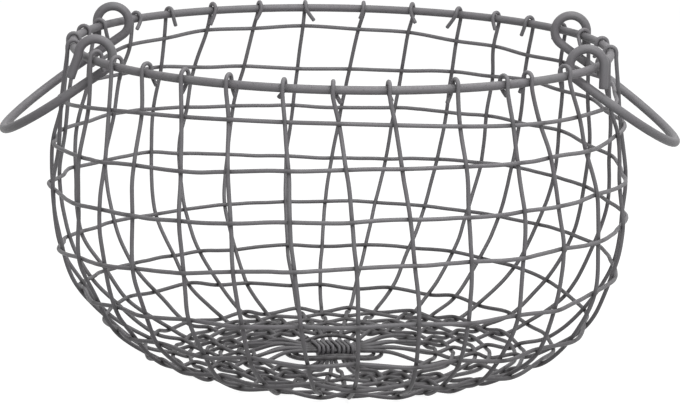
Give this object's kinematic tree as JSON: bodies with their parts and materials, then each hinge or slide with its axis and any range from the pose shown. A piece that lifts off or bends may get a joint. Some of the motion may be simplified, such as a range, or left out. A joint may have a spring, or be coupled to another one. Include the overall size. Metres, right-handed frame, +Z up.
{
  "type": "wire basket",
  "caption": "Round woven wire basket with a bulging side, a heavy rim wire and a swinging bail handle on each side.",
  "frame": {"origin": "bottom centre of the basket's bounding box, on the ground under the middle of the base", "axes": "+X to the basket's right, through the middle of the right handle; +Y to the back; +Z up"},
  "size_m": [0.4044, 0.3459, 0.2005],
  "materials": {
    "heavy_wire": "satin, worn",
    "woven_wire": "satin, worn"
  },
  "bodies": {
    "basket": {"rim_ring": "heavy_wire", "side_stake_wire_1": "woven_wire", "side_stake_wire_2": "woven_wire", "side_stake_wire_3": "woven_wire", "side_stake_wire_4": "woven_wire", "side_stake_wire_5": "woven_wire", "side_stake_wire_6": "woven_wire", "cross_stake_wire_1": "woven_wire", "cross_stake_wire_2": "woven_wire", "cross_stake_wire_3": "woven_wire", "cross_stake_wire_4": "woven_wire", "cross_stake_wire_5": "woven_wire", "cross_stake_wire_6": "woven_wire", "cross_stake_wire_7": "woven_wire", "cross_stake_wire_8": "woven_wire", "cross_stake_wire_9": "woven_wire", "single_stake_wire": "woven_wire", "weaver_round_01": "woven_wire", "weaver_round_02": "woven_wire", "weaver_round_03": "woven_wire", "weaver_round_04": "woven_wire", "weaver_round_05": "woven_wire", "weaver_round_06": "woven_wire", "weaver_round_07": "woven_wire", "weaver_round_08": "woven_wire", "weaver_round_09": "woven_wire", "weaver_round_10": "woven_wire", "weaver_round_11": "woven_wire", "weaver_round_12": "woven_wire", "weaver_round_13": "woven_wire", "base_tie_rounds": "woven_wire", "bundle_binding": "woven_wire"},
    "right_bail": {"handle_right": "heavy_wire"},
    "left_bail": {"handle_left": "heavy_wire"}
  },
  "joints": [
    {"name": "right_bail_swing", "type": "hinge", "parent": "basket", "child": "right_bail", "pos_m": [0.1404, 0, 0.1885], "axis": [0, -1, 0], "range_deg": [0, 300]},
    {"name": "left_bail_swing", "type": "hinge", "parent": "basket", "child": "left_bail", "pos_m": [-0.1404, 0, 0.1885], "axis": [0, 1, 0], "range_deg": [0, 300]}
  ]
}
